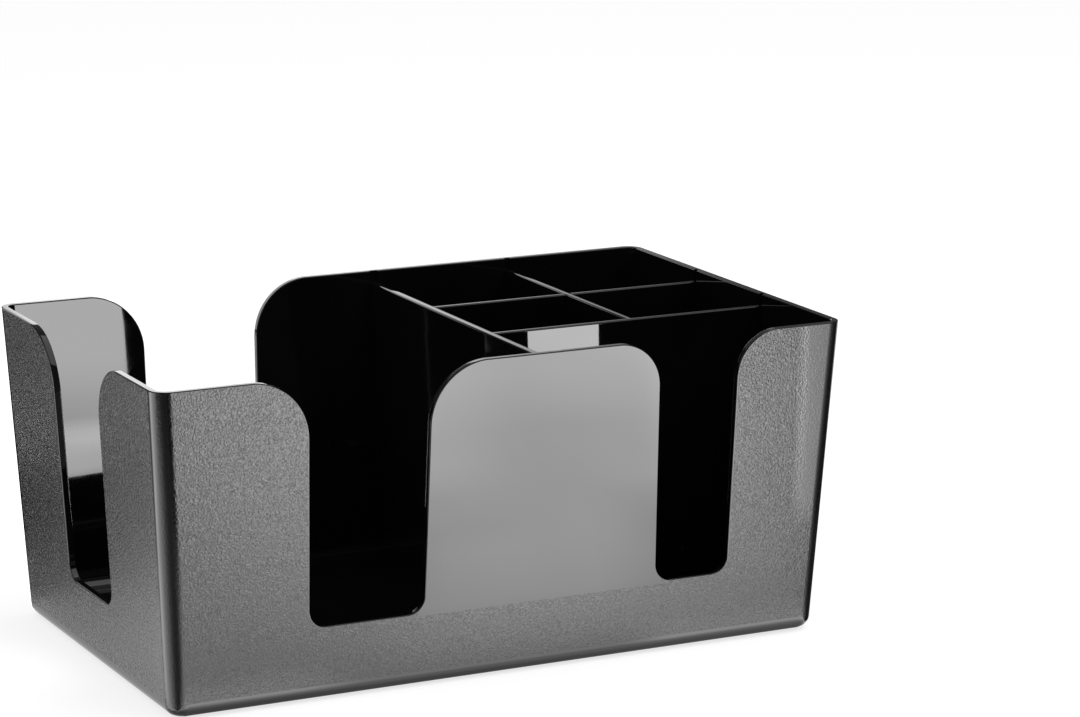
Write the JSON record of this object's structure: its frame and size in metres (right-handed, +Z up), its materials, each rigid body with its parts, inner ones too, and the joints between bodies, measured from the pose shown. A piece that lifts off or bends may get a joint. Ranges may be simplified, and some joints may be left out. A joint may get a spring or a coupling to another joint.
{
  "type": "bar caddy",
  "caption": "Countertop bar caddy: a tapered open tub with cut-down walls round a napkin bay, and panels that divide the rest into a front bay and square cells, on rubber feet.",
  "frame": {"origin": "on the table under the middle of the caddy, at the height of the feet's lower faces", "axes": "+X along the caddy from the napkin bay to the square cells, +Y from the front to the back, +Z up"},
  "size_m": [0.24, 0.146, 0.1056],
  "materials": {
    "body_plastic": "spark-grained outside, polished inside",
    "panel_plastic": "polished",
    "foot_rubber": "matte"
  },
  "bodies": {
    "root": {"caddy_body": "body_plastic", "main_divider": "panel_plastic", "front_bay_divider": "panel_plastic", "middle_panel": "panel_plastic", "cross_panel": "panel_plastic", "foot_front_left": "foot_rubber", "foot_front_right": "foot_rubber", "foot_back_left": "foot_rubber", "foot_back_right": "foot_rubber"}
  },
  "joints": []
}
